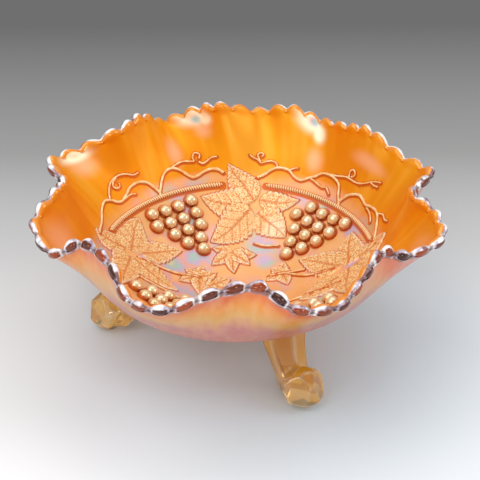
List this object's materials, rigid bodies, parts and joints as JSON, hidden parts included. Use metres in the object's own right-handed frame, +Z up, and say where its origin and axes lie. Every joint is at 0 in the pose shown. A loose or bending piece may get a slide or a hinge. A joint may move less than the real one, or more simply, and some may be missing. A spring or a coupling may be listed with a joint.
{
  "type": "carnival glass bowl",
  "caption": "Footed pressed glass bowl with a crimped, beaded rim, grape and vine leaf relief inside, and legs that end in faceted balls.",
  "frame": {"origin": "middle of the bowl's box, on the surface that the three balls stand on", "axes": "+Z up out of the bowl, +X to the right and +Y away from the viewer in the picture"},
  "size_m": [0.2134, 0.213, 0.0979],
  "materials": {
    "bowl_glass": "pressed glass with an orange and gold iridescent lustre, pearly on the relief",
    "foot_glass": "clear amber pressed glass with flat ground-looking facets"
  },
  "bodies": {
    "root": {"bowl": "bowl_glass", "front_foot": "foot_glass", "left_foot": "foot_glass", "right_foot": "foot_glass"}
  },
  "joints": []
}
